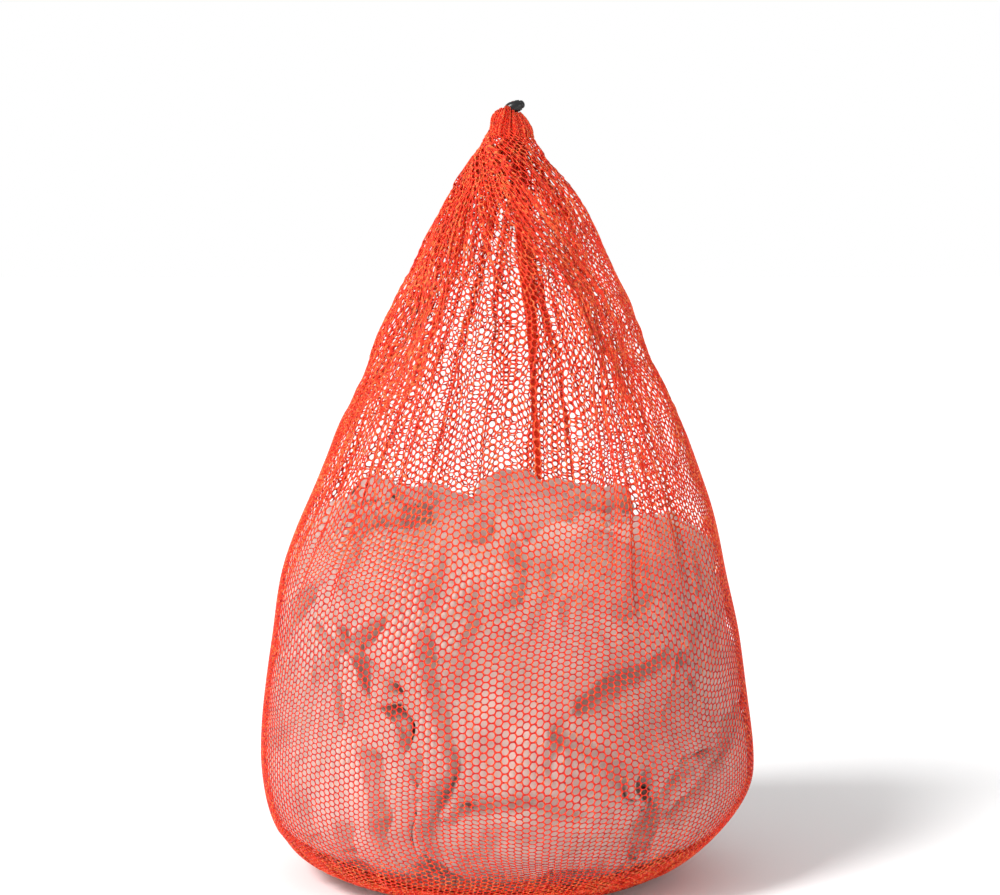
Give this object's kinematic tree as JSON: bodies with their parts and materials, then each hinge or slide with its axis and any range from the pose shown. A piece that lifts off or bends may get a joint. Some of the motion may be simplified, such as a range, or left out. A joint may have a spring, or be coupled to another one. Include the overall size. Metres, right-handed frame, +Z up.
{
  "type": "mesh ball bag",
  "caption": "Drawstring net ball bag, full and closed: hexagonal net wall and round base on a load of cloths, gathered hem, drawcord and spring cord lock.",
  "frame": {"origin": "on the ground under the middle of the bag's base", "axes": "+Z up through the mouth, -Y the front, +X to the right seen from the front"},
  "size_m": [0.487, 0.4868, 0.7646],
  "materials": {
    "orange_net": "matt polyester warp-knit hexagonal net",
    "seam_binding": "overlocked polyester seam",
    "drawcord_red": "braided polyester cord",
    "black_plastic": "glossy moulded plastic",
    "spring_steel": "drawn wire",
    "load_cloth": "soft crumpled cotton"
  },
  "bodies": {
    "bag": {"net_wall": "orange_net", "net_base": "orange_net", "base_seam": "seam_binding", "side_seam": "seam_binding", "mouth_hem": "orange_net", "drawcord": "drawcord_red", "cloth_base": "load_cloth", "cloth_middle": "load_cloth", "cloth_right": "load_cloth", "cloth_rear": "load_cloth", "cloth_left": "load_cloth", "cloth_front": "load_cloth"},
    "lock": {"lock_barrel": "black_plastic", "lock_spring": "spring_steel"},
    "button": {"lock_button": "black_plastic"}
  },
  "joints": [
    {"name": "lock_slide", "type": "slide", "parent": "bag", "child": "lock", "axis": [-0.342, 0, 0.9397], "range_m": [0, 0.01]},
    {"name": "button_press", "type": "slide", "parent": "lock", "child": "button", "axis": [-0.9397, 0, -0.342], "range_m": [0, 0.0026], "stiffness_N_per_m": 300, "springref_m": -0.002, "deforming": ["lock_spring"]}
  ]
}
